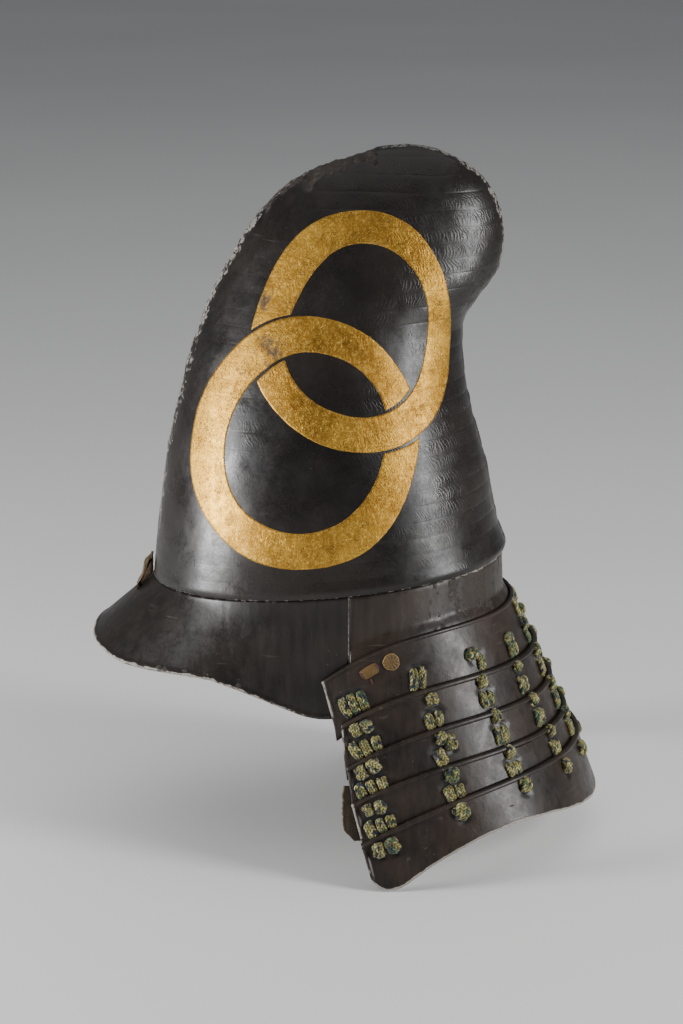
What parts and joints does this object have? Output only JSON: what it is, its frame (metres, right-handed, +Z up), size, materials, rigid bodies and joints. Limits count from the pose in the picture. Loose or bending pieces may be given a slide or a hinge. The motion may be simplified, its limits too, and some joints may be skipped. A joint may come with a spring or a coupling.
{
  "type": "kabuto samurai helmet",
  "caption": "Samurai helmet with a tall, sideways-flattened lacquered bowl, gold ring ornament, flared visor and a laced neck guard of overlapping lames.",
  "frame": {"origin": "centre of the bowl's lower opening, where the head sits", "axes": "+Z up, -Y towards the front of the helmet (the visor's point), +X towards the wearer's left"},
  "size_m": [0.278, 0.3474, 0.4677],
  "materials": {
    "bowl_lacquer": "black-brown satin lacquer with fine creases and worn edges",
    "visor_lacquer": "black-brown lacquer, brushed by wear, with a pale worn rim",
    "guard_lacquer": "black-brown satin lacquer with worn raised lips",
    "lace": "flat braided silk lace, yellow-green flecked with dark blue",
    "gilt": "worn gold leaf with fine cracks",
    "pad_leather": "pale ochre stippled leather",
    "backing_leather": "brown tanned leather with a paler cut edge"
  },
  "bodies": {
    "root": {"bowl": "bowl_lacquer", "visor": "visor_lacquer", "base_band": "guard_lacquer", "neck_lame_1": "guard_lacquer", "neck_lame_2": "guard_lacquer", "neck_lame_3": "guard_lacquer", "neck_lame_4": "guard_lacquer", "neck_lame_5": "guard_lacquer", "lacing_1": "lace", "lacing_2": "lace", "lacing_3": "lace", "lacing_4": "lace", "lacing_5": "lace", "lacing_6": "lace", "lacing_7": "lace", "lacing_8": "lace", "lacing_9": "lace", "lacing_10": "lace", "bar_pad_left": "pad_leather", "round_pad_left": "pad_leather", "leather_strip_left": "backing_leather", "bar_pad_right": "pad_leather", "round_pad_right": "pad_leather", "leather_strip_right": "backing_leather", "crest_socket": "gilt"}
  },
  "joints": []
}
